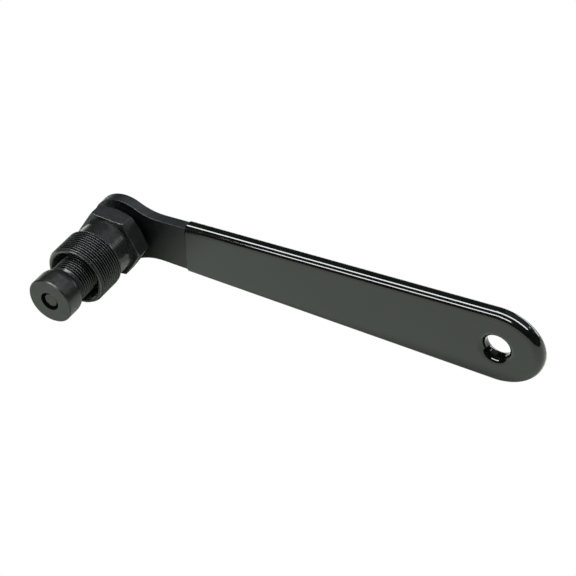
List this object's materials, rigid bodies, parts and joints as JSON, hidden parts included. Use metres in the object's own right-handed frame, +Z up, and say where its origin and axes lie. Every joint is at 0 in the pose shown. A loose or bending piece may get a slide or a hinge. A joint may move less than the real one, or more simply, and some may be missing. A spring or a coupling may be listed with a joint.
{
  "type": "bicycle pedal crank puller",
  "caption": "Lever-handled crank puller: a threaded hollow body with a hexagon, a screw spindle fixed to a dipped flat lever, and a swivelling tip that presses on the axle.",
  "frame": {"origin": "on the screw's axis, halfway along the thread that enters the crank arm", "axes": "-Y along the screw towards the tip, +X along the lever to its far end, +Z up across the lever's width, with the tool lying on the lever's edge"},
  "size_m": [0.1681, 0.048, 0.0276],
  "materials": {
    "black_steel": "satin black oxide",
    "spring_steel": "bright drawn wire",
    "lever_steel": "semi-gloss black",
    "dipped_vinyl": "gloss black"
  },
  "bodies": {
    "puller": {"puller_body": "black_steel"},
    "ring": {"retaining_ring": "spring_steel"},
    "screw": {"spindle": "black_steel", "lever": "lever_steel", "grip": "dipped_vinyl"},
    "tip": {"swivel_tip": "black_steel"}
  },
  "joints": [
    {"name": "spindle_advance", "type": "slide", "parent": "puller", "child": "ring", "axis": [0, -1, 0], "range_m": [-0.0143, 0.0025]},
    {"name": "lever_turn", "type": "hinge", "parent": "ring", "child": "screw", "pos_m": [0, 0, 0], "axis": [0, -1, 0], "range_deg": [-5148, 900]},
    {"name": "tip_swivel", "type": "hinge", "parent": "ring", "child": "tip", "pos_m": [0, -0.0155, 0], "axis": [0, -1, 0], "continuous": true}
  ],
  "couplings": [
    {"joint": "spindle_advance", "follows": "lever_turn", "m_per_rad": 0.00015915}
  ]
}
